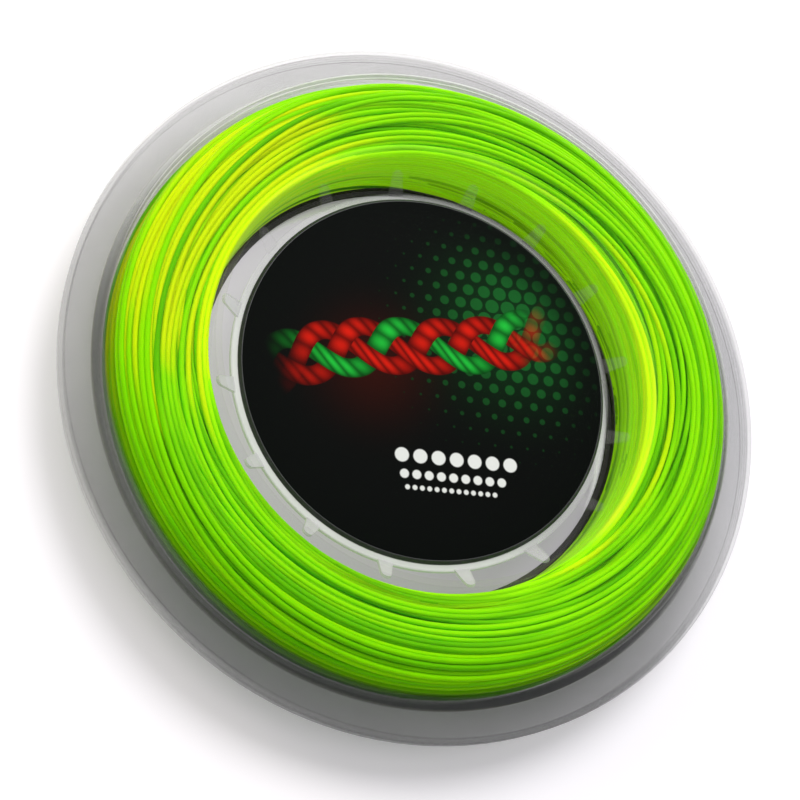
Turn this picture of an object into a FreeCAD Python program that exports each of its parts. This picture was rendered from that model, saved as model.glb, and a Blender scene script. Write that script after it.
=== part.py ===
import FreeCAD, Part

import math
import os
import re

import Sketcher
from FreeCAD import Placement, Rotation, Vector

# String reel for racket strings: two clear half shells round a winding, lying on the rear one.
# Millimetres. +Z is the reel's axis, from the rear face to the front face,
# and the origin is on that axis, in the plane of the rear face.

# Driving dimensions

SIZES = (
    ("reel_radius", 125.0, "outer radius of the two rim flanges"),
    ("reel_width", 36.4, "rear face to front face"),
    ("hub_bore", 75.8, "inner radius of the hub"),
    ("hub_wall", 2.0, "wall of the hub"),
    ("hub_round", 1.2, "round between the hub's bore and the face"),
    ("shell_wall", 1.4, "wall of a shell's face, side and flange"),
    ("flange_width", 11.9, "rim to the shells' sides, where these are carried on to the mid-plane"),
    ("side_lean", 12.2, "lean of the shells' sides, in degrees"),
    ("shoulder", 13.0, "radius between a shell's face and its side"),
    ("foot_round", 1.8, "radius between a shell's side and its flange"),
    ("rim_slit", 1.6, "slit between the flanges that the string leaves through"),
    ("bead_width", 2.0, "width of the bead round a flange's rim"),
    ("bead_rise", 0.35, "height of that bead"),
    ("bead_round", 0.6, "round on the bead's outer edge"),
    ("disc_rear", 15.3, "height of the snap disc's back"),
    ("disc_sheet", 1.5, "thickness of the snap disc"),
    ("finger_reach", 6.7, "hub to the snap disc's edge"),
    ("disc_round", 0.4, "round on the snap disc's front edge"),
    ("finger_count", 16, "fingers round the snap disc"),
    ("finger_slope", 43.0, "slope of the fingers towards the front, in degrees"),
    ("finger_sheet", 1.1, "thickness of a finger"),
    ("finger_root", 5.6, "width of a finger at the disc"),
    ("finger_tip", 3.6, "width of a finger at its round tip"),
    ("finger_bury", 0.8, "length of a finger's root inside the disc's edge"),
    ("finger_foot", 0.2, "height of a finger's root above the disc's back"),
    ("finger_gap", 0.2, "clearance of the finger tips in the hub"),
    ("label_margin", 2.5, "bare edge of the disc round the label plate"),
    ("label_thick", 1.2, "thickness of the label plate"),
    ("bevel_width", 1.0, "width of the bevel round the label plate"),
    ("bevel_drop", 0.9, "height of that bevel"),
    ("film_thick", 0.15, "thickness of the printed film"),
    ("film_inset", 0.3, "bare edge of the plate's face round the film"),
    ("string_width", 1.25, "diameter of the string"),
    ("string_rest", 0.15, "clearance between the outer turns and what they lie on"),
    ("wind_gap", 0.4, "clearance of the winding from the hub and the shells"),
    ("wind_slope", 20.7, "slope of the winding's front towards the hub, in degrees"),
    ("wind_edge", 1.0, "round on the winding's edges at the hub"),
    ("turn_count", 14, "outer turns"),
    ("turn_start", 4.6, "hub to the first outer turn"),
    ("string_lead", 3.4, "length along the turn of the bend at the string's inner end"),
    ("string_exit", 5.0, "length along the turn of the bend at the string's outer end"),
    ("string_end", 4.6, "reach of the string's outer end into the slit"),
)

doc = FreeCAD.newDocument("string_reel")
sheet = doc.addObject("Spreadsheet::Sheet", "sizes")
for row, (name, value, meaning) in enumerate(SIZES, start=1):
    sheet.set("A%d" % row, meaning)
    sheet.set("B%d" % row, str(value))
    sheet.setAlias("B%d" % row, name)
doc.recompute()


def on_sheet(expression):
    """Puts the sheet's name before each of its aliases in an expression."""
    names = "|".join(name for name, value, meaning in SIZES)
    return re.sub(r"\b(%s)\b" % names, r"sizes.\1", expression)


def worth(expression):
    """The value of an expression on the sheet's aliases."""
    return float(sheet.evalExpression(on_sheet(expression)))


# Sketches and features


def origin_item(body, role):
    return next(item for item in body.Origin.OriginFeatures if item.Role == role)


def outline(body, name, plane, corners, round_side=None):
    """A closed outline of straight lines on one of the body's planes.

    Each corner is a pair of expressions on the sheet's aliases, and a corner
    with an expression of 0 lies on that axis of the sketch. A round side is a
    half circle, bulging along the sketch's first axis.
    """
    sketch = body.newObject("Sketcher::SketchObject", name)
    sketch.AttachmentSupport = (origin_item(body, plane), [""])
    sketch.MapMode = "FlatFace"
    points = [Vector(worth(across), worth(up), 0) for across, up in corners]
    count = len(points)
    for i in range(count):
        start, finish = points[i], points[(i + 1) % count]
        side = Part.LineSegment(start, finish)
        if i == round_side:
            bulge = Vector((finish - start).Length / 2, 0, 0)
            side = Part.Arc(start, (start + finish) * 0.5 + bulge, finish)
        sketch.addGeometry(side, False)
    for i in range(count):
        sketch.addConstraint(Sketcher.Constraint("Coincident", i, 2, (i + 1) % count, 1))
    for i, (across, up) in enumerate(corners):
        for kind, axis, expression, value in (
            ("DistanceX", -2, across, points[i].x),
            ("DistanceY", -1, up, points[i].y),
        ):
            if expression == "0":
                sketch.addConstraint(Sketcher.Constraint("PointOnObject", i, 1, axis))
                continue
            added = sketch.addConstraint(Sketcher.Constraint(kind, -1, 1, i, 1, value))
            label = "%s_%d" % (kind, i)
            sketch.renameConstraint(added, label)
            sketch.setExpression("Constraints." + label, on_sheet(expression))
    if round_side is not None:
        across, up = corners[round_side]
        added = sketch.addConstraint(
            Sketcher.Constraint("DistanceX", -1, 1, round_side, 3, points[round_side].x)
        )
        sketch.renameConstraint(added, "round_centre")
        sketch.setExpression("Constraints.round_centre", on_sheet(across))
    sketch.Visibility = False
    return sketch


def turned(name, corners):
    """A body turned round the reel's axis from an outline of radii and heights."""
    body = doc.addObject("PartDesign::Body", name)
    sketch = outline(body, name + "_section", "XZ_Plane", corners)
    turn = body.newObject("PartDesign::Revolution", name + "_turned")
    turn.Profile = sketch
    turn.ReferenceAxis = (sketch, ["V_Axis"])
    turn.Angle = 360.0
    doc.recompute()
    return body


def round_edges(body, radius, places):
    """Rounds the body's circular edges at the given radii and heights."""
    found = []
    for across, up in places:
        for index, edge in enumerate(body.Tip.Shape.Edges, start=1):
            if not isinstance(edge.Curve, Part.Circle):
                continue
            off_radius = abs(edge.Curve.Radius - worth(across))
            off_height = abs(edge.Curve.Center.z - worth(up))
            if max(off_radius, off_height) < 1e-4:
                found.append("Edge%d" % index)
    if len(found) != len(places):
        raise RuntimeError("%s: %d of %d edges found" % (body.Name, len(found), len(places)))
    base = body.Tip
    feature = body.newObject("PartDesign::Fillet", "%s_round_%d" % (body.Name, len(body.Group)))
    feature.Base = (base, found)
    feature.setExpression("Radius", on_sheet(radius))
    doc.recompute()


# Front shell: half the hub, the face, the leaning side and the rim flange, in one clear sheet

middle = "reel_width / 2"
hub_outer = "hub_bore + hub_wall"
lean = "side_lean * 1 deg"
side_sheet = "shell_wall / cos(%s)" % lean
face_inside = "reel_width - shell_wall"
flange_rear = "reel_width / 2 + rim_slit / 2"
flange_front = flange_rear + " + shell_wall"
bead_front = flange_front + " + bead_rise"
bead_inner = "reel_radius - bead_width"


def side_at(height, depth="0"):
    """Radius of the front shell's side at a height, at a level depth under its outer surface."""
    return "reel_radius - flange_width - (%s - %s) * tan(%s) - %s" % (height, middle, lean, depth)


flange_foot = (side_at("(%s)" % flange_front), flange_front)
flange_mouth = (side_at("(%s)" % flange_rear, side_sheet), flange_rear)
face_corner = (side_at("reel_width"), "reel_width")
inner_corner = (side_at("(%s)" % face_inside, side_sheet), face_inside)

front_shell = turned(
    "front_shell",
    [
        ("hub_bore", middle),
        (hub_outer, middle),
        (hub_outer, face_inside),
        inner_corner,
        flange_mouth,
        ("reel_radius", flange_rear),
        ("reel_radius", bead_front),
        (bead_inner, bead_front),
        (bead_inner, flange_front),
        flange_foot,
        face_corner,
        ("hub_bore", "reel_width"),
    ],
)
round_edges(front_shell, "shoulder", [face_corner])
round_edges(front_shell, "shoulder - shell_wall", [inner_corner])
round_edges(front_shell, "foot_round", [flange_foot])
round_edges(front_shell, "foot_round + shell_wall", [flange_mouth])
round_edges(front_shell, "hub_round", [("hub_bore", "reel_width")])
round_edges(front_shell, "bead_round", [("reel_radius", bead_front)])

# Rear shell: the same moulding the other way round

rear_shell = doc.addObject("Part::Mirroring", "rear_shell")
rear_shell.Source = front_shell
rear_shell.Normal = Vector(0, 0, 1)
rear_shell.setExpression("Base.z", on_sheet(middle))

# Snap disc: a flat disc with sloping round-ended fingers that grip the hub

disc_face = "disc_rear + disc_sheet"
disc_edge = "hub_bore - finger_reach"

snap_disc = turned(
    "snap_disc",
    [
        ("0", "disc_rear"),
        (disc_edge, "disc_rear"),
        (disc_edge, disc_face),
        ("0", disc_face),
    ],
)
round_edges(snap_disc, "disc_round", [(disc_edge, disc_face)])

finger_start = "hub_bore - finger_reach - finger_bury"
finger_length = "(finger_reach + finger_bury - finger_gap) / cos(finger_slope * 1 deg)"
finger_sketch = outline(
    snap_disc,
    "finger_outline",
    "XY_Plane",
    [
        ("0", "0 - finger_root / 2"),
        (finger_length + " - finger_tip / 2", "0 - finger_tip / 2"),
        (finger_length + " - finger_tip / 2", "finger_tip / 2"),
        ("0", "finger_root / 2"),
    ],
    round_side=1,
)
finger_sketch.AttachmentOffset = Placement(
    Vector(), Rotation(Vector(0, 1, 0), -worth("finger_slope"))
)
for place, expression in (
    ("Rotation.Angle", "0 - finger_slope"),
    ("Base.x", finger_start),
    ("Base.z", "disc_rear + finger_foot"),
):
    finger_sketch.setExpression("AttachmentOffset." + place, on_sheet(expression))
finger = snap_disc.newObject("PartDesign::Pad", "finger")
finger.Profile = finger_sketch
finger.setExpression("Length", on_sheet("finger_sheet"))
doc.recompute()
fingers = snap_disc.newObject("PartDesign::PolarPattern", "fingers")
fingers.Originals = [finger]
fingers.Axis = (origin_item(snap_disc, "Z_Axis"), [""])
fingers.Angle = 360.0
fingers.setExpression("Occurrences", on_sheet("finger_count"))
snap_disc.Tip = fingers
doc.recompute()

# Label plate on the disc, and the printed film on its face

plate_face = "disc_rear + disc_sheet + label_thick"
plate_edge = "hub_bore - finger_reach - label_margin"

label_plate = turned(
    "label_plate",
    [
        ("0", disc_face),
        (plate_edge, disc_face),
        (plate_edge, plate_face + " - bevel_drop"),
        (plate_edge + " - bevel_width", plate_face),
        ("0", plate_face),
    ],
)
label_film = doc.addObject("Part::Cylinder", "label_film")
label_film.setExpression("Radius", on_sheet(plate_edge + " - bevel_width - film_inset"))
label_film.setExpression("Height", on_sheet("film_thick"))
label_film.setExpression("Placement.Base.z", on_sheet(plate_face))

# Wound string: the inner turns as one core. Its front slopes up from the hub to a shoulder
# that has the same centre as the shell's

slope = "wind_slope * 1 deg"
cover = "(string_width + string_rest)"
core_inner = "hub_bore + hub_wall + wind_gap"
core_rear = "shell_wall + wind_gap"
wind_round = "shoulder - shell_wall - wind_gap"
centre_height = "reel_width - shoulder"
centre_radius = side_at("(%s)" % centre_height, "shoulder / cos(%s)" % lean)
corner_out = "((1 / cos(%s) - tan(%s) / cos(%s)) / (1 + tan(%s) * tan(%s)))" % (
    lean, lean, slope, slope, lean
)


def wound(depth):
    """Corners of the winding's front and side at a depth under its surface: hub, shoulder, middle."""
    out = "(%s - %s)" % (wind_round, depth)
    front = "%s + %s / cos(%s)" % (centre_height, out, slope)
    return [
        (core_inner, "%s - (%s - (%s)) * tan(%s)" % (front, centre_radius, core_inner, slope)),
        (
            "%s + %s * %s" % (centre_radius, out, corner_out),
            "%s + %s * %s * tan(%s)" % (front, out, corner_out, slope),
        ),
        (side_at(middle, "(shell_wall + wind_gap + %s) / cos(%s)" % (depth, lean)), middle),
    ]


core_dip, core_shoulder, core_middle = wound(cover)
core_heel = (
    side_at("(reel_width - (%s))" % core_rear, "(shell_wall + wind_gap + %s) / cos(%s)" % (cover, lean)),
    core_rear,
)

winding_core = turned(
    "winding_core",
    [(core_inner, core_rear), core_heel, core_middle, core_shoulder, core_dip],
)
round_edges(winding_core, "%s - %s" % (wind_round, cover), [core_shoulder, core_heel])
round_edges(winding_core, "wind_edge", [(core_inner, core_rear), core_dip])

# The outer turns lie on the core: out across its front, round its shoulder and down its side

string_width = worth("string_width")
lay_depth = "string_width / 2"
lay_hub, lay_corner, lay_middle = [Vector(worth(out), 0, worth(up)) for out, up in wound(lay_depth)]
lay_round = worth("%s - %s" % (wind_round, lay_depth))
lay_centre = Vector(worth(centre_radius), 0, worth(centre_height))
arc_start = lay_hub + (lay_corner - lay_hub).normalize() * (
    math.sqrt(lay_hub.distanceToPoint(lay_centre) ** 2 - lay_round ** 2)
)
arc_finish = lay_middle + (lay_corner - lay_middle).normalize() * (
    math.sqrt(lay_middle.distanceToPoint(lay_centre) ** 2 - lay_round ** 2)
)
arc_top = lay_centre + (lay_corner - lay_centre).normalize() * lay_round
lay_edges = [
    Part.LineSegment(lay_hub, arc_start).toShape(),
    Part.Arc(arc_start, arc_top, arc_finish).toShape(),
    Part.LineSegment(arc_finish, lay_middle).toShape(),
]
turn_count = int(worth("turn_count"))
turn_start = worth("turn_start - wind_gap")
turn_pitch = (sum(edge.Length for edge in lay_edges) - turn_start) / turn_count


def lay(travel):
    """Radius, height and direction in section, at a distance along the wound surface."""
    for edge in lay_edges:
        if travel <= edge.Length or edge is lay_edges[-1]:
            break
        travel -= edge.Length
    at = edge.getParameterByLength(min(travel, edge.Length))
    place, way = edge.valueAt(at), edge.tangentAt(at)
    return place.x, place.z, way.x, way.z


def around(radius, angle, height):
    return Vector(radius * math.cos(angle), radius * math.sin(angle), height)


def on_turn(turns):
    """The string's place and direction after a number of turns."""
    radius, height, across, up = lay(turn_start + turn_pitch * turns)
    angle = math.pi * (2 * turns + 0.5)
    pace = turn_pitch / (2 * math.pi)
    way = around(across * pace, angle, up * pace) + around(radius, angle + math.pi / 2, 0)
    return around(radius, angle, height), way.normalize()


def bend(start, corner, finish):
    """An arc between two points whose tangents meet at a corner."""
    middle = (start + finish) * 0.5
    half_turn = math.atan2((corner - middle).Length, (finish - start).Length / 2)
    share = math.tan(half_turn / 2) / math.tan(half_turn)
    return Part.Arc(start, middle + (corner - middle) * share, finish).toShape()


def biarc(start, start_way, finish, finish_way):
    """Two arcs that leave and arrive in given directions and meet in one tangent."""
    chord = finish - start
    ahead = chord.dot(start_way + finish_way)
    turn = 2 * (1 - start_way.dot(finish_way))
    reach = (math.sqrt(ahead * ahead + turn * chord.dot(chord)) - ahead) / turn
    first = start + start_way * reach
    second = finish - finish_way * reach
    meeting = (first + second) * 0.5
    return [bend(start, first, meeting), bend(meeting, second, finish)]


hub_radius = worth(hub_outer)
first_place, first_way = on_turn(0)
lead_angle = math.pi / 2 - worth("string_lead") / hub_radius
string_root = around(hub_radius, lead_angle, first_place.z)
root_way = around(1, lead_angle, 0)
string_out = string_root + root_way * string_width
edges = [Part.LineSegment(string_root, string_out).toShape()]
edges += biarc(string_out, root_way, first_place, first_way)

quarters = 4 * turn_count
for quarter in range(quarters):
    place, way = on_turn(quarter / 4)
    next_place, next_way = on_turn((quarter + 1) / 4)
    edges += biarc(place, way, next_place, next_way)

last_place, last_way = on_turn(turn_count)
side_radius = math.hypot(last_place.x, last_place.y)
exit_angle = math.pi / 2 + worth("string_exit") / side_radius
exit_way = around(1, exit_angle, 0)
string_leave = around(side_radius + worth("string_end"), exit_angle, last_place.z)
edges += biarc(last_place, last_way, string_leave, exit_way)
edges.append(Part.LineSegment(string_leave, string_leave + exit_way * string_width).toShape())

path = Part.Wire(edges)
sweep = Part.BRepOffsetAPI.MakePipeShell(path)
sweep.add(Part.Wire(Part.makeCircle(string_width / 2, string_root, root_way)))
sweep.build()
sweep.makeSolid()
winding_turns = doc.addObject("Part::Feature", "winding_turns")
winding_turns.Shape = sweep.shape()

# The turns' length, tightest bend and least gap to themselves, measured on points

point_count = 8
route = []
for edge in edges:
    route += edge.discretize(point_count + 1)[:-1]
step = 8 * point_count
near = point_count * 4
gaps = []
for i, point in enumerate(route):
    for other in route[i + near:i + step * 2]:
        gaps.append(point.distanceToPoint(other))
tightest = min(edge.Curve.Radius for edge in edges if isinstance(edge.Curve, Part.Circle))
section_area = math.pi * string_width ** 2 / 4
print("outer turns: %d, pitch %.2f mm, length %.2f m" % (turn_count, turn_pitch, path.Length / 1000))
print("outer turns: tightest bend %.2f mm" % tightest)
print("outer turns: least gap to themselves %.2f mm" % (min(gaps) - string_width))
print("outer turns: volume %.4f of section times length"
      % (winding_turns.Shape.Volume / (section_area * path.Length)))

# Labels, checks and files

NODES = (
    front_shell,
    rear_shell,
    snap_disc,
    label_plate,
    label_film,
    winding_core,
    winding_turns,
)
doc.recompute()
for item in doc.Objects:
    if "Invalid" in item.State or "Error" in item.State:
        raise RuntimeError("%s failed: %s" % (item.Name, item.State))
for node in NODES:
    node.Label = node.Name
    if node.Shape.isNull() or not node.Shape.isValid():
        raise RuntimeError(node.Label + " has no valid shape")
os.makedirs("parts", exist_ok=True)
for node in NODES:
    node.Shape.exportStep("parts/%s.step" % node.Label)
    box = node.Shape.optimalBoundingBox(False, False)
    print("%-14s %2d solid, %9.0f mm3, radius %.2f, height %.2f to %.2f"
          % (node.Label, len(node.Shape.Solids), node.Shape.Volume, box.XMax, box.ZMin, box.ZMax))
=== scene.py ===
# %% [markdown]
# # A reel of racket string
#
# The object is a flat clear reel, a quarter of a metre across, filled with lime green string.
# Two like shells of clear plastic hold the winding between them. A pale disc is snapped into the
# hub, and a round dark label lies on it. The hard pieces come from the CAD frame and get their
# finishes here. The winding is made here, because string lies in hundreds of loose turns that a
# CAD solid can only hint at.

import math

import bpy
import numpy as np
from mathutils import Matrix, Vector


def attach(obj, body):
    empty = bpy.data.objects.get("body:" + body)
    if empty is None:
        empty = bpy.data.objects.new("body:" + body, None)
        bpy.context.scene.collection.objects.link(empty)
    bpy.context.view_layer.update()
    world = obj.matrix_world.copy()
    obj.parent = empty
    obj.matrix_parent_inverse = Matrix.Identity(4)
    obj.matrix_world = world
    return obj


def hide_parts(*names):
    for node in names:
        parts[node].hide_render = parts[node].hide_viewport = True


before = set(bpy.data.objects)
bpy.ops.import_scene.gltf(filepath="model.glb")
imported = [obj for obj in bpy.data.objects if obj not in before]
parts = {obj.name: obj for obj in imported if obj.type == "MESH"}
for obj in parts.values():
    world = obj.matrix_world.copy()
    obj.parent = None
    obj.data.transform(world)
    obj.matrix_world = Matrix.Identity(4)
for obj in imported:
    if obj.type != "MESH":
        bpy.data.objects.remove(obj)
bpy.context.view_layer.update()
print("nodes:", ", ".join(sorted(parts)))

# %% [markdown]
# ## Camera
#
# A camera is best set before anything else, because every later choice is judged through it. The
# numbers come from fitting the rim, the hub and the label, which are circles round one axis, to
# the ellipses that they make in the photograph. The axis leans 27 degrees away from the camera,
# and the camera is half a metre off, which is near enough for the hub's far wall to show.

# %% Camera
SIZE_PX = 800
FOCAL_PX = 1450.2
SENSOR = 36
TILT, ROLL = 0.4744, 0.7852
DISTANCE = 0.5
OFF_RIGHT, OFF_UP = 0.009136, 0.008259
AIM_HEIGHT = 0.0158
TURNED = math.radians(-6.4)

level_right = Vector((1, 0, 0))
level_up = Vector((0, math.cos(TILT), math.sin(TILT)))
backward = Vector((0, -math.sin(TILT), math.cos(TILT)))
view_right = level_right * math.cos(ROLL) + level_up * math.sin(ROLL)
view_up = level_up * math.cos(ROLL) - level_right * math.sin(ROLL)
stand = backward * DISTANCE - view_right * OFF_RIGHT - view_up * OFF_UP
turn_to_cad = Matrix.Rotation(TURNED, 3, "Z")
axes = Matrix([turn_to_cad @ way for way in (view_right, view_up, backward)]).transposed()
place = turn_to_cad @ stand + Vector((0, 0, AIM_HEIGHT))

camera = bpy.data.objects.new("camera", bpy.data.cameras.new("camera"))
bpy.context.scene.collection.objects.link(camera)
camera.data.sensor_width = SENSOR
camera.data.lens = FOCAL_PX / SIZE_PX * SENSOR
camera.data.clip_start, camera.data.clip_end = 0.01, 50
camera.matrix_world = Matrix.Translation(place) @ axes.to_4x4()
bpy.context.scene.camera = camera
bpy.context.scene.view_settings.view_transform = "Standard"
print("camera at", [round(c, 4) for c in camera.location], "lens", round(camera.data.lens, 2))

# %% [markdown]
# ## A small language for materials
#
# A material is a tree of nodes, and a tree made by hand-written links is hard to read. Here one
# small class wraps an output socket, so that `1 - mask` or `glow * 0.5` adds the Math node that
# it says. Vectors go through Vector Math and colours through Mix, because a Math node would turn
# them into one grey number. Every other node comes from the method `node`.

# %% Sockets that can be added and multiplied


class Wire:
    """One output socket of a finish, with operators that add the nodes they need."""

    def __init__(self, finish, socket):
        self.finish, self.socket = finish, socket

    def worked(self, operation, *values):
        vector = any(isinstance(v, Wire) and v.socket.type == "VECTOR" for v in values)
        kind = "ShaderNodeVectorMath" if vector else "ShaderNodeMath"
        return self.finish.node(kind, {"operation": operation}, dict(enumerate(values)))

    def __add__(self, other):
        return self.worked("ADD", self, other)

    def __radd__(self, other):
        return self.worked("ADD", other, self)

    def __sub__(self, other):
        return self.worked("SUBTRACT", self, other)

    def __rsub__(self, other):
        return self.worked("SUBTRACT", other, self)

    def __mul__(self, other):
        return self.worked("MULTIPLY", self, other)

    def __rmul__(self, other):
        return self.worked("MULTIPLY", other, self)

    def __truediv__(self, other):
        return self.worked("DIVIDE", self, other)

    def __rtruediv__(self, other):
        return self.worked("DIVIDE", other, self)

    def __pow__(self, other):
        return self.worked("POWER", self, other)

    def __rpow__(self, other):
        return self.worked("POWER", other, self)

    def __abs__(self):
        return self.worked("ABSOLUTE", self)

    def __gt__(self, other):
        return self.worked("GREATER_THAN", self, other)

    def __lt__(self, other):
        return self.worked("LESS_THAN", self, other)

    def sine(self):
        return self.worked("SINE", self)

    def cosine(self):
        return self.worked("COSINE", self)

    def whole(self):
        """The whole number at or below this value."""
        return self.worked("FLOOR", self)

    def fraction(self):
        """What is left of this value above that whole number."""
        return self.worked("FRACT", self)

    def remainder(self, other):
        """What is left after division by the other value."""
        return self.worked("MODULO", self, other)

    def at_most(self, other):
        return self.worked("MINIMUM", self, other)

    def at_least(self, other):
        return self.worked("MAXIMUM", self, other)

    def step(self, low, high, to_low=0.0, to_high=1.0):
        """Goes smoothly from one value to another as this one goes from low to high."""
        settings = {"interpolation_type": "SMOOTHSTEP"}
        sockets = {0: self, 1: low, 2: high, 3: to_low, 4: to_high}
        return self.finish.node("ShaderNodeMapRange", settings, sockets)

    def tint(self, here, there):
        """A colour that goes from here to there as this value goes from 0 to 1."""
        settings = {"data_type": "RGBA", "blend_type": "MIX"}
        return self.finish.node("ShaderNodeMix", settings, {0: self, 6: here, 7: there}, 2)

    def parts(self):
        """The three numbers of a vector."""
        pick = self.finish.node("ShaderNodeSeparateXYZ", {}, {0: self})
        return [Wire(self.finish, output) for output in pick.socket.node.outputs]


print("sockets can be worked with")

# %% Finishes and the nodes they often need


class Finish:
    """A material in the making, or the sky where it is made among the worlds."""

    def __init__(self, name, among="materials"):
        self.material = getattr(bpy.data, among).new(name)
        self.material.use_nodes = True
        self.tree = self.material.node_tree
        self.tree.nodes.clear()

    def node(self, kind, settings, sockets, out=0):
        """Adds a node: its type, its settings, then the values or wires of its sockets."""
        made = self.tree.nodes.new(kind)
        for name, value in settings.items():
            setattr(made, name, value)
        for name, value in sockets.items():
            if isinstance(value, Wire):
                self.tree.links.new(value.socket, made.inputs[name])
            else:
                made.inputs[name].default_value = value
        return Wire(self, made.outputs[out]) if len(made.outputs) else None

    def place(self):
        """The point's place in the object, in metres."""
        return self.node("ShaderNodeTexCoord", {}, {}, "Object")

    def in_view(self):
        """1 for what is seen, directly, in gloss or through plastic, and 0 for lighting."""
        path = self.node("ShaderNodeLightPath", {}, {}).socket.node.outputs
        rays = ("Is Camera Ray", "Is Glossy Ray", "Is Transmission Ray")
        direct, in_gloss, through = (Wire(self, path[ray]) for ray in rays)
        return (direct + in_gloss + through).at_most(1.0)

    def edge_on(self):
        """0 where the surface is seen square on, and 1 where it is seen on edge."""
        return self.node("ShaderNodeLayerWeight", {}, {"Blend": 0.5}, "Facing")

    def noise(self, where, scale, detail):
        sockets = {"Vector": where, "Scale": scale, "Detail": detail, "Roughness": 0.5}
        return self.node("ShaderNodeTexNoise", {}, sockets)

    def bump(self, height, strength, distance):
        sockets = {"Height": height, "Strength": strength, "Distance": distance}
        return self.node("ShaderNodeBump", {}, sockets)

    def shader(self, **sockets):
        """The Principled shader, its sockets named in small letters with underscores."""
        names = {name.replace("_", " ").title(): value for name, value in sockets.items()}
        names = {name.replace("Ior", "IOR"): value for name, value in names.items()}
        return self.node("ShaderNodeBsdfPrincipled", {}, names)

    def done(self, shader, output="ShaderNodeOutputMaterial"):
        self.node(output, {}, {0: shader})
        print("finish", self.material.name, "has", len(self.tree.nodes), "nodes")


def dress(node, finish):
    """Gives a CAD node its finish."""
    slots = parts[node].data.materials
    slots.clear()
    slots.append(finish.material)


print("finishes can be made")

# %% Greys, distances and rings


def grey(level, blue=0.0):
    """A grey, or one with a little more blue."""
    return (level, level, level + blue, 1)


def how_far(across, along):
    """The distance of a point that lies so far across and so far along."""
    return (across * across + along * along) ** 0.5


def towards(azimuth, across, along):
    """How far such a point lies in the direction of an azimuth."""
    return across * math.cos(azimuth) + along * math.sin(azimuth)


def ring(radius, start=None, end=None):
    """1 between two soft edges, each given as the radii at which it begins and ends."""
    if end is None:
        return radius.step(*start)
    inside = radius.step(*end, 1.0, 0.0)
    return radius.step(*start) * inside if start else inside


BLACK, WHITE = grey(0.0), grey(1.0)
print("black", BLACK, "and white", WHITE)

# %% [markdown]
# ## Floor, light and background
#
# The photograph has a white ground with one soft shadow, towards the lower left. So one large
# soft lamp stands at the upper right, a weaker warm one at the left, a third low down in front,
# and a plain white sky fills the rest. The ground is a pale floor. What is seen of it, directly or
# in the plastic, is a little whiter than what it lends the reel, so that it reads as white while
# the shadow stays. Light that falls through the hub and spreads in the clear walls brightens the
# patch of ground below it, most at its left. See-through shells don't carry that light here, so
# the patch glows. Far from the reel the floor glows too, so that it meets the sky without a grey
# band. The floor lies a hair below the reel, because two faces in one plane fight for each pixel.

# %% Floor
FLOOR_SIZE, FLOOR_HEIGHT = 8, -0.0004
FLOOR_LENDS, FLOOR_SEEN = (0.76, 0.72, 0.76, 1), (0.98, 0.955, 1.0, 1)
FLOOR_GLOW, GLOW_COLOUR = 0.15, (1.0, 0.97, 1.0, 1)
FAR_START, FAR_GLOW = (0.25, 0.90), 0.85
PATCH_SEEN, PATCH_END, PATCH_SHIFT = (0.16, 0.15, 0.17, 1), (0.0765, 0.0785), 0.009
PATCH_GLOW, PATCH_GLOW_LEFT, PATCH_LEFT = 0.25, 0.12, math.radians(208.6)

bpy.ops.mesh.primitive_plane_add(size=FLOOR_SIZE, location=(0, 0, FLOOR_HEIGHT))
floor = bpy.context.object
floor.name = "floor"

ground = Finish("ground_white")
in_view = ground.in_view()
across, along, _ = ground.place().parts()
far_off = ring(how_far(across, along), FAR_START)
along = along + PATCH_SHIFT
patch = ring(how_far(across, along), end=PATCH_END)
patch_left = towards(PATCH_LEFT, across, along) / PATCH_END[0]
colour = in_view.tint(FLOOR_LENDS, patch.tint(FLOOR_SEEN, PATCH_SEEN))
paper = ground.node("ShaderNodeBsdfDiffuse", {}, {"Color": colour})
shine = patch * (PATCH_GLOW + patch_left * PATCH_GLOW_LEFT) + far_off * FAR_GLOW + FLOOR_GLOW
shine = (in_view * shine).tint(BLACK, GLOW_COLOUR)
glow = ground.node("ShaderNodeEmission", {}, {"Color": shine})
ground.done(ground.node("ShaderNodeAddShader", {}, {0: paper, 1: glow}))
floor.data.materials.append(ground.material)

# %% Sky
SKY_LIGHT = 0.29

sky = Finish("sky", "worlds")
bpy.context.scene.world = sky.material
colour = sky.in_view().tint(grey(SKY_LIGHT), WHITE)
sky.done(sky.node("ShaderNodeBackground", {}, {"Color": colour}), "ShaderNodeOutputWorld")
print("sky lights at", SKY_LIGHT)

# %% Lamps


def lamp(name, azimuth, elevation, away, width, power, colour):
    """A round soft lamp that looks at the reel from an azimuth and elevation in degrees."""
    light = bpy.data.lights.new(name, "AREA")
    light.shape = "DISK"
    light.size, light.energy, light.color = width, power, colour
    body = bpy.data.objects.new(name, light)
    bpy.context.scene.collection.objects.link(body)
    a, e = math.radians(azimuth), math.radians(elevation)
    way = Vector((math.cos(a) * math.cos(e), math.sin(a) * math.cos(e), math.sin(e)))
    body.location = way * away
    body.rotation_euler = way.to_track_quat("Z", "Y").to_euler()


lamp("key_lamp", 99, 58, 1.2, 0.76, 11.7, (1, 1, 1))
lamp("left_lamp", 180, 32, 1.3, 0.6, 3.8, (1, 0.93, 0.76))
lamp("low_lamp", 262, 16, 1.3, 0.6, 2.0, (1, 1, 1))
print("three lamps")

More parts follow.
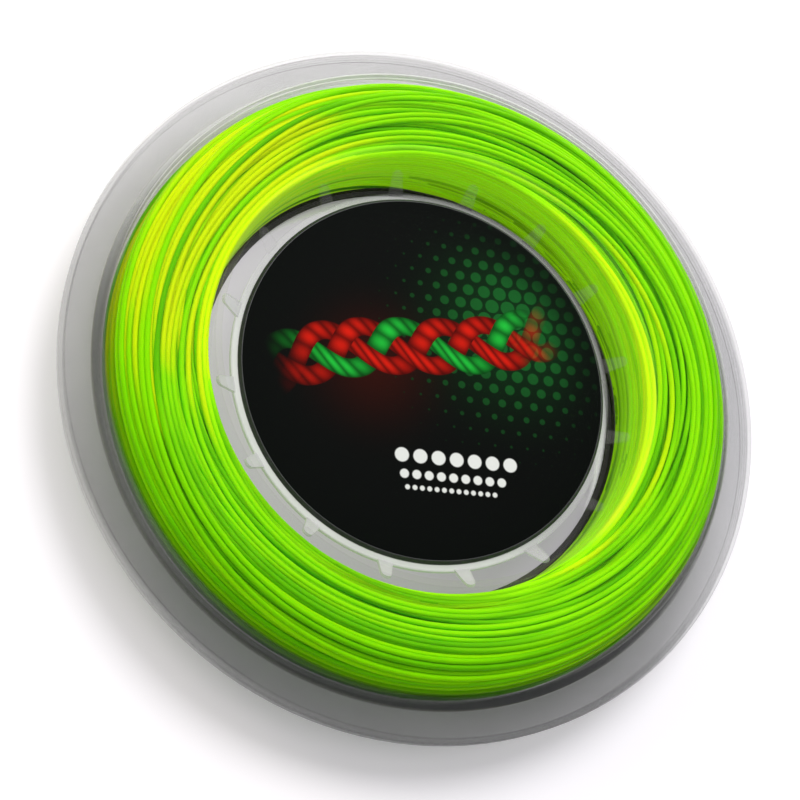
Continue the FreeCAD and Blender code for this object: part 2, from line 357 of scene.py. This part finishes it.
# %% [markdown]
# ## Clear plastic
#
# The shells are injection moulded in clear, slightly grey plastic. Real refraction in sheets of
# 1.4 mm moves what is behind them by less than the string's width, but it keeps lamp light from
# reaching the string. So the sheet is a Principled surface with a low alpha: almost nothing where
# it is seen square on, more where it is seen on edge. Rings of the moulding differ, and each is
# picked out by its radius: the flange has a grey grain and a painted sheen that rises and falls
# with how much it is seen on edge. Its foot is thicker, and its darker tone is painted shade at
# the foot of the winding's side. A groove, darkened as painted shade, and a pale bead run round
# the rim. The hub's rear end is painted nearly black: painted shade behind the winding. Where the
# shoulder is seen on edge it is painted pale and glows: a painted highlight.
#
# Thick clear plastic also carries light along inside itself, which a thin sheet with an alpha
# doesn't. So the foot and the shoulder are painted paler on the side of the large lamp, and the
# foot, the flange and the bead are painted darker on the far side from it: painted light and
# shade, set by the azimuth round the axis.

# %% Rings of the shells, in metres from the axis
HUB_WALL_END = (0.0781, 0.0786)
HUB_REAR_END, HUB_REAR_TOP = (0.0792, 0.0799), (0.0018, 0.0028)
OUTER_START, SHOULDER_END = (0.0965, 0.0995), (0.1112, 0.1118)
FOOT_START, FOOT_END = (0.1108, 0.1116), (0.1140, 0.1146)
FLANGE_START = (0.1140, 0.1148)
GROOVE_START, GROOVE_END = (0.1226, 0.1229), (0.1231, 0.1234)
BEAD_START = (0.1231, 0.1235)

clear = Finish("clear_moulded_plastic")
spot = clear.place()
across, along, height = spot.parts()
radius = how_far(across, along)
hub_wall = ring(radius, end=HUB_WALL_END)
# The hub's rear end is painted dark and dense: painted shade in the gap behind the winding.
hub_rear_shade = ring(radius, end=HUB_REAR_END) * height.step(*HUB_REAR_TOP, 1.0, 0.0)
outer = ring(radius, OUTER_START)
foot = ring(radius, FOOT_START, FOOT_END)
flange = ring(radius, FLANGE_START)
groove = ring(radius, GROOVE_START, GROOVE_END)
bead = ring(radius, BEAD_START)
print("the flange begins at %.1f mm" % (1000 * FLANGE_START[0]))

# %% Light, edges and grain on the shells
LIT_SIDE = math.radians(128.6)
LIT, SHADED = (0.0, 0.8), (-1.0, -0.45)
SHOULDER_EDGE, SHOULDER_GLOW = (0.66, 0.92), (-0.4, 0.6, 0.1, 1.0)
LIFT, LIFT_BACK, LIFT_BACK_BY = (0.02, 0.08), (0.14, 0.24), 0.6

# The sides on which the shells' light and shade are painted: lit towards the large lamp, shaded
# away from it.
toward = towards(LIT_SIDE, across, along) / radius
lit = toward.step(*LIT)
shaded = toward.step(*SHADED, 1.0, 0.0)
edge_on = clear.edge_on()
# A painted sheen: the flange's tone rises where it is seen a little on edge, and falls back
# further on edge.
sheen_lift = edge_on.step(*LIFT) - edge_on.step(*LIFT_BACK) * LIFT_BACK_BY
# A painted highlight: where the shoulder is seen on edge it is made pale and denser, and on the
# lamp's side it glows.
shoulder = edge_on.step(*SHOULDER_EDGE) * outer * ring(radius, end=SHOULDER_END)
shoulder_highlight = shoulder * toward.step(*SHOULDER_GLOW)
cloud = clear.noise(spot, 38.0, 3.0)
grain = clear.noise(spot, 900.0, 2.0)
soft_wave = clear.noise(spot, 60.0, 1.0)
print("lit most at an azimuth of %.1f degrees" % math.degrees(LIT_SIDE))

# %% How much each ring hides, from 0 to 1
SHEET, SHEET_ON_EDGE, OUTER_ON_EDGE = 0.012, 0.03, 0.17
HUB_WALL, HUB_REAR = 0.03, 0.85
FOOT, FOOT_LIT = 0.50, 0.15
SHOULDER, SHOULDER_LIT = 0.20, 0.30
FLANGE, FLANGE_CLOUD = 0.185, 0.03
GROOVE = 0.08
BEAD, BEAD_SHADED = 0.045, 0.20

density = SHEET + (edge_on**4.0) * (outer * OUTER_ON_EDGE + SHEET_ON_EDGE)
density = density + hub_wall * HUB_WALL + hub_rear_shade * HUB_REAR
density = density + foot * (FOOT - lit * FOOT_LIT) + shoulder * (SHOULDER + lit * SHOULDER_LIT)
density = density + flange * (FLANGE + cloud * FLANGE_CLOUD) + groove * GROOVE
density = density - bead * (BEAD - shaded * BEAD_SHADED)
print("one sheet of the flange hides about %.0f per cent" % (100 * (SHEET + FLANGE)))

# %% Tones of the rings, and the shells' finish
INNER_TONE, OUTER_TONE = grey(0.12), (0.17, 0.15, 0.05, 1)
FLANGE_LOW, FLANGE_SHEEN, FLANGE_SHADED = grey(0.06, 0.005), grey(0.37, 0.005), grey(0.02, 0.002)
# The foot's greys are darker than the flange's: painted shade at the foot of the winding's side.
FOOT_TONE, FOOT_SHADED, FOOT_LIT_TONE = grey(0.19, 0.005), grey(0.05, 0.005), grey(0.62, 0.01)
BEAD_TONE, BEAD_SHADED_TONE = grey(0.42, 0.005), grey(0.17, 0.005)
SHOULDER_HIGHLIGHT_TONE, SHOULDER_LIGHT = grey(0.72), grey(0.28, 0.005)
HUB_TONE, SHADE_TONE = (0.42, 0.44, 0.22, 1), (0.008, 0.007, 0.009, 1)
SHADED_SHARE, GROOVE_SHADE_SHARE = 0.75, 0.35

tone = outer.tint(INNER_TONE, OUTER_TONE)
# The flange's tone, lighter with its painted sheen.
tone = flange.tint(tone, sheen_lift.tint(FLANGE_LOW, FLANGE_SHEEN))
# The flange is painted darker on the far side from the lamp: painted shade.
tone = (flange * shaded * SHADED_SHARE).tint(tone, FLANGE_SHADED)
tone = shoulder.tint(tone, SHOULDER_HIGHLIGHT_TONE)
tone = hub_wall.tint(tone, HUB_TONE)
# The foot is painted paler on the lamp's side and darker on the far side.
tone = foot.tint(tone, lit.tint(shaded.tint(FOOT_TONE, FOOT_SHADED), FOOT_LIT_TONE))
# The groove is darkened and the hub's rear end painted nearly black: painted shade.
tone = (groove * GROOVE_SHADE_SHARE + hub_rear_shade).at_most(1.0).tint(tone, SHADE_TONE)
# The bead is painted darker on the far side from the lamp: painted shade.
tone = bead.tint(tone, shaded.tint(BEAD_TONE, BEAD_SHADED_TONE))
clear.done(
    clear.shader(
        base_color=tone,
        roughness=0.16 + grain * 0.08 + hub_rear_shade * 0.5,
        ior=1.5,
        specular_ior_level=0.05,
        alpha=density.at_most(1.0),
        # The shoulder's painted highlight glows.
        emission_color=shoulder_highlight.tint(BLACK, SHOULDER_LIGHT),
        emission_strength=1.0,
        normal=clear.bump(soft_wave + grain * 0.05, 0.12, 0.0006),
    )
)
for shell in ("front_shell", "rear_shell"):
    dress(shell, clear)

# %% [markdown]
# ## The winding's room
#
# The string fills the space between the shells as one fat ring. Its section is drawn here from
# the same sizes as the CAD: flat at the back, upright at the hub, sloping at the front, and round
# at the shoulder. Everything that is wound follows this outline, at some depth below it. The
# turns are pressed flat against the hub, and on one side of the rim they hang a little slack.

# %% Corners of the winding's section, in millimetres
HUB, REAR, MIDDLE = 78.2, 1.8, 18.2
LEAN, SLOPE = math.radians(12.2), math.radians(20.7)
CROWN, CROWN_ROUND = (98.676, 23.4), 11.2
HUB_REAR_ROUND, HUB_FRONT_ROUND, WAIST_ROUND = 1.2, 1.6, 6
START = (95.0, REAR)

front_touch = (CROWN[0] - CROWN_ROUND * math.sin(SLOPE), CROWN[1] + CROWN_ROUND * math.cos(SLOPE))
side_touch = (CROWN[0] + CROWN_ROUND * math.cos(LEAN), CROWN[1] + CROWN_ROUND * math.sin(LEAN))
hub_front = (HUB, front_touch[1] - (front_touch[0] - HUB) * math.tan(SLOPE))
waist = (side_touch[0] + (side_touch[1] - MIDDLE) * math.tan(LEAN), MIDDLE)
heel = (waist[0] - (MIDDLE - REAR) * math.tan(LEAN), REAR)
rise = (side_touch[0] - front_touch[0], side_touch[1] - front_touch[1])
reach = (rise[0] * math.cos(LEAN) + rise[1] * math.sin(LEAN)) / math.cos(SLOPE - LEAN)
crown = (front_touch[0] + reach * math.cos(SLOPE), front_touch[1] + reach * math.sin(SLOPE))
corners = [
    (START, 0),
    ((HUB, REAR), HUB_REAR_ROUND),
    (hub_front, HUB_FRONT_ROUND),
    (crown, CROWN_ROUND),
    (waist, WAIST_ROUND),
    (heel, CROWN_ROUND),
]
print("the slope and the side would meet %.1f mm from the axis" % crown[0])

# %% Outline through the corners
ARC_STEP, EVEN_STEP = 0.4, 0.2


def rounded_section(corners):
    """Even points along a closed outline of corners, each with the radius that rounds it."""
    points = []
    count = len(corners)
    for i, (corner, round_off) in enumerate(corners):
        here = np.array(corner)
        before, after = np.array(corners[i - 1][0]), np.array(corners[(i + 1) % count][0])
        come, go = (here - before), (after - here)
        come, go = come / np.linalg.norm(come), go / np.linalg.norm(go)
        if not round_off:
            points.append(here)
            continue
        turn = math.acos(float(come @ go))
        cut = round_off * math.tan(turn / 2)
        side = np.array((come[1], -come[0]))
        centre = here - come * cut + side * round_off
        steps = max(3, int(turn * round_off / ARC_STEP))
        for k in range(steps + 1):
            a = turn * k / steps
            points.append(centre - side * round_off * math.cos(a) + come * round_off * math.sin(a))
    points.append(np.array(corners[0][0]))
    points = np.array(points)
    gaps = np.linalg.norm(np.diff(points, axis=0), axis=1)
    travel = np.concatenate(([0], np.cumsum(gaps)))
    even = np.linspace(0, travel[-1], int(travel[-1] / EVEN_STEP))
    return even, np.interp(even, travel, points[:, 0]), np.interp(even, travel, points[:, 1])


travel, section_r, section_z = rounded_section(corners)
ROUND_TRIP = float(travel[-1])
slope_r, slope_z = np.gradient(section_r, travel), np.gradient(section_z, travel)
print("once round the winding's section is %.1f mm" % ROUND_TRIP)

# %% Places on the winding
STRING = 1.25
MM = 0.001
HUB_SIDE, HUB_SIDE_REACH, PRESSED = 29.7, 15.5, 0.5
LEAST_COVER = 0.02
SLACK, SLACK_AT, SLACK_TAPER = 1.7, math.radians(148.6), 1.1
SLACK_START, SLACK_OVER = 86, 22


def on_winding(s, angle, depth, width=STRING):
    """Places in metres, from travels along the section, angles round the axis and depths."""
    s = np.mod(s, ROUND_TRIP)
    pressed = np.exp(-(((s - HUB_SIDE) / HUB_SIDE_REACH) ** 4))
    depth = np.maximum(depth * (1 - PRESSED * pressed), width / 2 + LEAST_COVER)
    dr, dz = np.interp(s, travel, slope_r), np.interp(s, travel, slope_z)
    length = np.hypot(dr, dz)
    r = np.interp(s, travel, section_r) + depth * dz / length
    z = np.interp(s, travel, section_z) - depth * dr / length
    from_slack = (angle - SLACK_AT + math.pi) % (2 * math.pi) - math.pi
    slack = SLACK * np.maximum(0, np.cos(SLACK_TAPER * from_slack)) ** 2
    r = r - slack * np.clip((r - SLACK_START) / SLACK_OVER, 0, 1)
    return np.stack((r * np.cos(angle), r * np.sin(angle), z), axis=-1) * MM


print("at most %.1f mm of slack" % SLACK)

# %% [markdown]
# ## The string
#
# A real reel holds some two hundred metres of one thin string, laid turn on turn by a machine.
# The turns aren't neat rings: each is pushed a little to one side, neighbours keep together for a
# while, and each layer crosses the one below at a few degrees. So each layer here is one long
# tube that creeps round the section while it swings from side to side. The swing's phase drifts
# from turn to turn, which makes the clumps and the gaps. Four such layers lie over each other, on
# a ridged bed that closes the view to the inside, and the two upper ones are laid as pairs. In
# the photograph two strings that lie close read as one broad strand, so a tube is wider here than
# one string.
#
# The string's plastic lets light in and spreads it, which subsurface scattering gives. Its colour
# runs from deep lime to yellow by a tone that each point of a tube carries. The tone also carries
# painted light and shade: yellower where the warm lamp falls, lighter towards one side and at the
# hub, darker on deeper strands and lower layers. At the hub a faint glow stands for the light that
# the clear hub lets in from behind.

# %% Finish of the string
DEEP_LIME, LIME, LIME_AT = (0.105, 0.47, 0.001, 1), (0.285, 0.83, 0.001, 1), 0.62
YELLOW_LIME = (0.66, 0.90, 0.003, 1)
HUB_GLOW, HUB_GLOW_END = (0.12, 0.21, 0.001, 1), (0.0790, 0.0835)

string_look = Finish("lime_monofilament")
spot = string_look.place()
across, along, _ = spot.parts()
tone = string_look.node("ShaderNodeAttribute", {"attribute_name": "string_tone"}, {}, "Fac")
fleck = string_look.noise(spot, 90.0, 1.0)
gloss = string_look.noise(spot, 1500.0, 2.0)
hue = (tone + fleck * 0.12 - 0.06).step(0.0, 1.0)
colour = hue.step(0.0, LIME_AT).tint(DEEP_LIME, LIME)
colour = hue.step(LIME_AT, 1.0).tint(colour, YELLOW_LIME)
at_hub = ring(how_far(across, along), end=HUB_GLOW_END) * (tone * 2.2 - 0.2).at_most(1.0)
string_look.done(
    string_look.shader(
        base_color=colour,
        roughness=0.38 + gloss * 0.12,
        ior=1.45,
        specular_ior_level=0.08,
        specular_tint=(0.7, 1.0, 0.05, 1),
        subsurface_weight=0.8,
        subsurface_radius=(1.0, 1.0, 0.1),
        subsurface_scale=0.0016,
        emission_color=at_hub.tint(BLACK, HUB_GLOW),
        emission_strength=1.0,
        normal=string_look.bump(gloss, 0.08, 0.00005),
    )
)

# %% Meshes and tubes of string


def string_piece(name, points, faces, tone):
    """A smooth mesh that rides on the reel, with a tone for each point that its finish reads."""
    mesh = bpy.data.meshes.new(name)
    mesh.from_pydata(points.reshape(-1, 3).tolist(), [], faces)
    mesh.materials.append(string_look.material)
    mesh.shade_smooth()
    mark = mesh.attributes.new("string_tone", "FLOAT", "POINT")
    mark.data.foreach_set("value", tone.astype(np.float32))
    piece = bpy.data.objects.new(name, mesh)
    bpy.context.scene.collection.objects.link(piece)
    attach(piece, "root")
    return piece


def grid_faces(rows, columns, closed=False):
    """Faces between rows of points, each row a loop. The last row meets the first if closed."""
    starts = np.arange(rows if closed else rows - 1)
    row, column = np.meshgrid(starts, np.arange(columns), indexing="ij")
    here, above = row * columns, (row + 1) % rows * columns
    following = (column + 1) % columns
    quads = np.stack((here + column, here + following, above + following, above + column), -1)
    return quads.reshape(-1, 4).tolist()


def unit(vectors):
    return vectors / np.linalg.norm(vectors, axis=1, keepdims=True)


def tube(name, line, width, sides, tone):
    """A tube with closed ends round a line of points, with a tone for each of them."""
    way = unit(np.gradient(line, axis=0))
    over = unit(np.cross(way, unit(line * (1, 1, 0))))
    out = np.cross(over, way)
    a = (np.arange(sides) * 2 * math.pi / sides)[None, :, None]
    rings = line[:, None] + width / 2 * (np.cos(a) * out[:, None] + np.sin(a) * over[:, None])
    faces = grid_faces(len(line), sides)
    last = (len(line) - 1) * sides
    faces += [list(range(sides))[::-1], list(range(last, last + sides))]
    string_piece(name, rings, faces, np.repeat(tone, sides))
    length = float(np.linalg.norm(np.diff(line, axis=0), axis=1).sum())
    print(name, "%.1f m of string," % length, len(faces), "faces")


print("ready to wind")

# %% Ridged bed under the turns
# The bed's tone is as low as the deepest layer's: painted shade.
BED_DEPTH, BED_TONE, BED_STEPS = 3.0, 0.32, 144
RIDGE, RIDGE_PITCH, RIDGE_ROWS = 0.45, 1.3, 4
BED_WAVES = ((1.4, 2, 1), (0.8, 5, 0))


def waves(angle, table):
    """A sum of waves round the axis, each with its size, its number to a turn and its phase."""
    return sum(size * np.sin(angle * count + phase) for size, count, phase in table)


bed_rows = int(ROUND_TRIP / RIDGE_PITCH) * RIDGE_ROWS
row_s = np.linspace(0, ROUND_TRIP, bed_rows, endpoint=False)
ridge = RIDGE * np.abs(np.sin(np.arange(bed_rows) * math.pi / RIDGE_ROWS))
angles = np.linspace(0, 2 * math.pi, BED_STEPS, endpoint=False)
grid_s, grid_a = np.meshgrid(row_s, angles, indexing="ij")
grid_s = grid_s + waves(grid_a, BED_WAVES)
bed_points = on_winding(grid_s, grid_a, BED_DEPTH - ridge[:, None])
bed_faces = grid_faces(bed_rows, BED_STEPS, closed=True)
bed = string_piece("winding_bed", bed_points, bed_faces, np.full(bed_rows * BED_STEPS, BED_TONE))
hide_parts("winding_core", "winding_turns")
print("winding_bed", len(bed_faces), "faces")

# %% How the turns stray
# Each pair says how far a turn strays, and after how many turns it takes a new aim. The waves
# of a swing have such a pair for their phase.
SWING_WAVES = ((1.0, 1, (1.3, 3)), (0.35, 2, (1.5, 4)), (0.15, 3, (1.6, 2.5)))
SWING_SIZE, SIZE_STRAYS = 0.85, (0.3, 5)
SWAY_STRAYS, SIDE_STRAYS, DEPTH_STRAYS = (0.18, 0.6), (0.12, 1.7), (0.14, 0.8)
TONE_STRAYS, WARMTH_STRAYS = (0.16, 1.5), (0.8, 0.9)


def wander(chance, turns, spread, gap):
    """A value that strays smoothly from turn to turn, with a new aim every few turns."""
    knots = chance.normal(0, spread, int(turns.max() / gap) + 4)
    at = turns / gap
    low = np.floor(at).astype(int)
    share = at - low
    share = share * share * (3 - 2 * share)
    return knots[low] * (1 - share) + knots[low + 1] * share


def near(s, travel, reach):
    """1 at a travel along the section, falling to 0 beyond its reach."""
    return np.exp(-(((s - travel) / reach) ** 2))


print("a swing has", len(SWING_WAVES), "waves")

# %% Tones along the string
# The string is painted yellower at the upper left, towards the warm lamp, and in a patch at the
# right where the front slope begins, which that lamp reaches across the hub: painted warm light.
# It is also painted a little lighter towards one side and at the hub, and darker where a strand
# lies deeper: painted light and shade. Elsewhere it is a plain lime that gets a little deeper and
# lighter.
LEFT_SIDE, LEFT_WARM_LIGHT = math.radians(190), 0.50
RIGHT_SIDE, RIGHT_WARM_LIGHT = math.radians(32), 0.26
RIGHT_TRAVEL, RIGHT_REACH = 43, 7
SIDE_LIGHT_AT, SIDE_LIGHT_SHARE = math.radians(125), 0.045
HUB_LIGHTER, DEEP_DARKER = 0.06, 0.2
CLUMP, CLUMP_PITCH, CLUMP_WAVES = 0.11, 8.7, ((2.2, 1, 1), (1.4, 2, 0))
PLAIN_MOST, WARMTH_MOST = 0.58, 2.2


def facing(angle, azimuth):
    return np.maximum(0, np.cos(angle - azimuth))


def string_tone(own, turns, s, angle, at_hub, deeper, brightness):
    """The tone of each point, from 0 for deep lime to 1 for yellow."""
    # Painted warm light: yellower towards the warm lamp, and in a patch at the right.
    right = near(s, RIGHT_TRAVEL, RIGHT_REACH) * facing(angle, RIGHT_SIDE) ** 2
    warm = LEFT_WARM_LIGHT * facing(angle, LEFT_SIDE) ** 5 + RIGHT_WARM_LIGHT * right
    clump = np.sin(s * 2 * math.pi / CLUMP_PITCH + waves(angle, CLUMP_WAVES))
    # Painted light and shade: lighter at the hub and towards one side, darker on deeper strands.
    plain = brightness + HUB_LIGHTER * at_hub - DEEP_DARKER * deeper + CLUMP * clump
    plain = plain + wander(own, turns, *TONE_STRAYS) + SIDE_LIGHT_SHARE * np.cos(angle - SIDE_LIGHT_AT)
    warmth = np.clip(1.0 + wander(own, turns, *WARMTH_STRAYS), 0, WARMTH_MOST)
    return np.clip(np.minimum(plain, PLAIN_MOST) + warm * warmth, 0, 1)


print("plain string has a tone of at most", PLAIN_MOST)

# %% Layers of turns
# In the table, each layer has its seed, its depth, its travel in one turn, its swing, its
# strands, the tube's width and sides, the points in one turn, and the tone. The tone is lower
# for deeper layers: painted shade. A strand lies offset to one side and deeper by so much.
ALONE, PAIR = [(0, 0)], [(0, 0), (1.85, 0.15)]
LAYERS = {
    "string_under": (11, 2.90, 1.7, 2.5, ALONE, 1.5, 6, 96, 0.32),
    "string_middle": (23, 2.40, 3.6, 5.0, ALONE, 1.7, 6, 96, 0.36),
    "string_upper": (31, 1.75, 4.6, 6.2, PAIR, 1.9, 8, 110, 0.41),
    "string_over": (37, 1.03, 6.0, 7.0, PAIR, 2.0, 8, 110, 0.46),
}
HUB_TRAVEL, HUB_TRAVEL_REACH, HUB_CALMS = 30, 14, 0.75


def layer(name, seed, depth, drift, swing, strands, width, sides, steps, brightness):
    """Turns that creep once round the section while they swing, as one or two strands."""
    for number, (offset, deeper) in enumerate(strands):
        chance = np.random.default_rng(seed)
        own = np.random.default_rng(seed + 100 + number)
        last = ROUND_TRIP / drift
        turns = np.linspace(0, last, int(last * steps))
        angle = turns * 2 * math.pi + chance.uniform(0, 6.28)
        table = [(part, count, wander(chance, turns, *pair)) for part, count, pair in SWING_WAVES]
        size = swing * (SWING_SIZE + wander(chance, turns, *SIZE_STRAYS))
        sway = size * waves(angle, table) + wander(own, turns, *SWAY_STRAYS)
        s = drift * turns
        at_hub = near(s, HUB_TRAVEL, HUB_TRAVEL_REACH)
        s = s + sway * (1 - HUB_CALMS * at_hub) + offset + wander(own, turns, *SIDE_STRAYS)
        line = on_winding(s, angle, depth + deeper + wander(own, turns, *DEPTH_STRAYS), width)
        tone = string_tone(own, turns, s, angle, at_hub, deeper, brightness)
        tube("%s_%d" % (name, number + 1), line, width * MM, sides, tone)


for name, sizes in LAYERS.items():
    layer(name, *sizes)

# %% [markdown]
# ## The string's loose end
#
# The outer end leaves the last turn in the middle of the side and is tucked into the slit between
# the two flanges, where the next length is pulled from. A curve with a bevel would do for it, but
# it is the same string, so it is made as the turns are, at the string's real width.

# %% Loose end
TAIL_POINTS, TAIL_SIDES, TAIL_TONE = 40, 10, 0.7
TAIL_FINISH, TAIL_RUN = math.radians(96), math.radians(30)
TAIL_RADIUS, TAIL_REACH, TAIL_BEND = 110.2, 5.6, 0.55

share = np.linspace(0, 1, TAIL_POINTS)
angle = TAIL_FINISH - (1 - share) * TAIL_RUN
bent = np.maximum(0, (share - TAIL_BEND) / (1 - TAIL_BEND))
r = TAIL_RADIUS + TAIL_REACH * bent**2
tail = np.stack((r * np.cos(angle), r * np.sin(angle), np.full(TAIL_POINTS, MIDDLE)), -1) * MM
tube("string_tail", tail, STRING * MM, TAIL_SIDES, np.full(TAIL_POINTS, TAIL_TONE))

# %% [markdown]
# ## Snap disc
#
# A pale, slightly milky moulding. Under the label it is nearly solid. The ring outside the label
# and the thin fingers let most of the light through. On one side the fingers' slopes face the
# large lamp, and there ring and fingers are painted paler and more solid: painted light.
# Milkiness is light scattered inside the plastic, and a volume would show it, but slowly. An alpha
# under one with a soft sheen looks the same at this thickness.

# %% Snap disc
UNDER_LABEL, BEYOND_LABEL, LABEL_END = 0.90, 0.22, (0.0655, 0.0665)
BARE_START, FINGER_START = (0.0662, 0.0670), (0.0682, 0.0688)
FINGER_CLEARER, FINGER_ON_EDGE, LAMP_SIDE_MORE = 0.19, 0.12, 0.40
LAMP_FACING, LAMP_SIDE = math.radians(268), (0.10, 0.60)

milky = Finish("milky_plastic")
spot = milky.place()
across, along, _ = spot.parts()
radius = how_far(across, along)
body = radius.step(*LABEL_END, UNDER_LABEL, BEYOND_LABEL)
finger = ring(radius, FINGER_START)
# Painted light: on the lamp's side, ring and fingers are paler and more solid.
lamp_side = (towards(LAMP_FACING, across, along) / radius).step(*LAMP_SIDE)
lit_ring = lamp_side * ring(radius, BARE_START) * (1 - finger)
finger_more = (milky.edge_on() ** 3.0) * FINGER_ON_EDGE + lamp_side * LAMP_SIDE_MORE
flow = milky.noise(spot, 70.0, 2.0)
grain = milky.noise(spot, 1200.0, 2.0)
paleness = flow * 0.4 + (finger + lit_ring) * 0.6
milky.done(
    milky.shader(
        base_color=paleness.tint(grey(0.45, 0.005), grey(0.84, 0.005)),
        roughness=0.30 + grain * 0.12,
        ior=1.49,
        alpha=body + finger * (finger_more - FINGER_CLEARER) + lit_ring * LAMP_SIDE_MORE,
        normal=milky.bump(flow + grain * 0.1, 0.15, 0.0004),
    )
)
dress("snap_disc", milky)

# %% [markdown]
# ## Label plate
#
# A dark satin disc with a bevelled edge, which catches the light as a thin grey ring. The bevel is
# in the CAD, so only the finish is made here. Even black looks like a hole in a render, so a fine
# noise changes its tone, roughness and height a little.

# %% Label plate
plate = Finish("dark_satin_plastic")
grain = plate.noise(plate.place(), 1400.0, 3.0)
plate.done(
    plate.shader(
        base_color=grain.tint(grey(0.022, 0.003), grey(0.042, 0.004)),
        roughness=0.36 + grain * 0.14,
        ior=1.5,
        specular_ior_level=0.2,
        normal=plate.bump(grain, 0.2, 0.00008),
    )
)
dress("label_plate", plate)

# %% [markdown]
# ## Printed film
#
# The label is a glossy print, nearly black, with a dark green glow and red and green accents. A
# print like this could be an image, but here it is drawn by the material itself, so that it stays
# sharp and belongs to nobody: a braid of three cords, two red and one green, crosses the disc in
# front of a field of green dots that fades into the dark. Three rows of white dots stand where a
# label usually has its print. Places on the film are measured in its radius, u to the right and v
# upwards as they are in the photograph.

# %% Places on the film
FILM_RADIUS = 0.0653
PRINT_TURN = math.radians(35.3)
QUARTER = math.pi / 2

film = Finish("printed_film")
spot = film.place()
across, along, _ = spot.parts()
u = towards(PRINT_TURN, across, along) / FILM_RADIUS
v = towards(PRINT_TURN + QUARTER, across, along) / FILM_RADIUS
print("the film is %.1f mm across" % (2000 * FILM_RADIUS))

# %% Green glow and its dots
DOT_PITCH, DOT_SIZE, DOT_SOFT, ROW_RISE = 0.092, 0.46, 0.04, 0.866
KEEP_POSITIVE = 40.0
NEAR_BLACK, DARK_GREEN = (0.0016, 0.0021, 0.0018, 1), (0.0030, 0.028, 0.006, 1)
EMBER_RED, EMBER_SHARE = (0.030, 0.0035, 0.0016, 1), 0.8
DIM_DOT, BRIGHT_DOT = (0.003, 0.012, 0.004, 1), (0.008, 0.105, 0.018, 1)


def spot_light(at_u, at_v, reach):
    """A soft glow on the film, 1 at its middle and 0 at its reach."""
    return ring(how_far(u - at_u, v - at_v), end=(0.0, reach))


glow = spot_light(0.50, 0.34, 0.95)
ember = spot_light(-0.30, 0.02, 0.62)
row = v / (DOT_PITCH * ROW_RISE)
odd = abs(row.whole()).remainder(2.0)
dot_u = (u / DOT_PITCH + odd * 0.5 + KEEP_POSITIVE).fraction() - 0.5
dot_v = ((row + KEEP_POSITIVE).fraction() - 0.5) * ROW_RISE
dots = (glow * DOT_SIZE - how_far(dot_u, dot_v)).step(-DOT_SOFT, DOT_SOFT)
picture = (glow * glow).tint(NEAR_BLACK, DARK_GREEN)
picture = (ember * ember * EMBER_SHARE).tint(picture, EMBER_RED)
picture = dots.tint(picture, glow.tint(DIM_DOT, BRIGHT_DOT))
print("green dots %.1f mm apart" % (1000 * DOT_PITCH * FILM_RADIUS))

# %% Braid of three cords
# Each cord is a sine wave, a third of a turn from the next. Where cords cross, the one with the
# greater lift at that place lies on top.
BRAID_TILT, BRAID_RISE = math.radians(21), 0.16
BOW, BOW_PACE = 0.10, 2.6
PACE, WAVE, CORD, CORD_EDGE = 9.5, 0.115, 0.056, (0.88, 1.0)
BRAID_HALF, BRAID_FADE = 0.50, 0.32
TWIST_ALONG, TWIST_ACROSS, TWIST_CURVE = 9.0, 46.0, 0.7
RED, DEEP_RED = (0.66, 0.012, 0.004, 1), (0.045, 0.001, 0.0006, 1)
GREEN, DEEP_GREEN = (0.015, 0.50, 0.045, 1), (0.001, 0.035, 0.004, 1)

p = towards(BRAID_TILT, u, v)
q = towards(BRAID_TILT + QUARTER, u, v) - BRAID_RISE + (p * BOW_PACE).sine() * BOW
ends = (abs(p) - BRAID_HALF).step(0.0, BRAID_FADE, 1.0, 0.0)
highest = None
for number, (bright, deep) in enumerate(((RED, DEEP_RED), (GREEN, DEEP_GREEN), (RED, DEEP_RED))):
    phase = p * PACE + number * 2 * math.pi / 3
    away = q - phase.sine() * WAVE
    lean = phase.cosine() * (WAVE * PACE)
    far = abs(away) / (lean * lean + 1.0) ** 0.5 / CORD
    cord = ring(far, end=CORD_EDGE)
    lift = (phase * 2.0).sine() + 2.0
    height = cord * lift
    on_top = cord if highest is None else (height > highest) * cord
    roundness = (1.0 - far**2.0).at_least(0.0)
    ply = (p * (PACE * TWIST_ALONG) + away * TWIST_ACROSS).sine() * 0.5 + 0.5
    shade = roundness * (0.22 + 0.78 * ply**TWIST_CURVE) * (0.45 + 0.275 * (lift - 1.0))
    picture = (on_top * ends).tint(picture, shade.tint(deep, bright))
    highest = height if highest is None else height.at_least(highest)
print("cords %.1f mm thick" % (2000 * CORD * FILM_RADIUS))

# %% Rows of white dots and the dark border
# Each row has its v, its dots' radius, their pitch, and the u where it starts and ends.
ROWS = (
    (-0.46, 0.038, 0.100, -0.20, 0.50),
    (-0.56, 0.024, 0.067, -0.17, 0.43),
    (-0.63, 0.013, 0.040, -0.14, 0.38),
)
WHITE_DOT, WHITE_SOFT = (0.76, 0.77, 0.76, 1), 0.004
BORDER, BORDER_START, BORDER_SHARE = (0.0012, 0.0020, 0.0015, 1), (0.70, 1.0), 0.8

for row_v, dot_radius, pitch, row_start, row_end in ROWS:
    along_row = (((u - row_start + 10 * pitch) / pitch).fraction() - 0.5) * pitch
    dot = (dot_radius - how_far(along_row, v - row_v)).step(-WHITE_SOFT, WHITE_SOFT)
    dot = dot * ((u > row_start) * (u < row_end))
    picture = dot.tint(picture, WHITE_DOT)
border = ring(how_far(u, v), BORDER_START)
picture = (border * BORDER_SHARE).tint(picture, BORDER)
print(len(ROWS), "rows of white dots")

# %% Film
fine = film.noise(spot, 2200.0, 2.0)
film.done(
    film.shader(
        base_color=picture,
        roughness=0.40 + fine * 0.10,
        ior=1.48,
        specular_ior_level=0.015,
    )
)
dress("label_film", film)
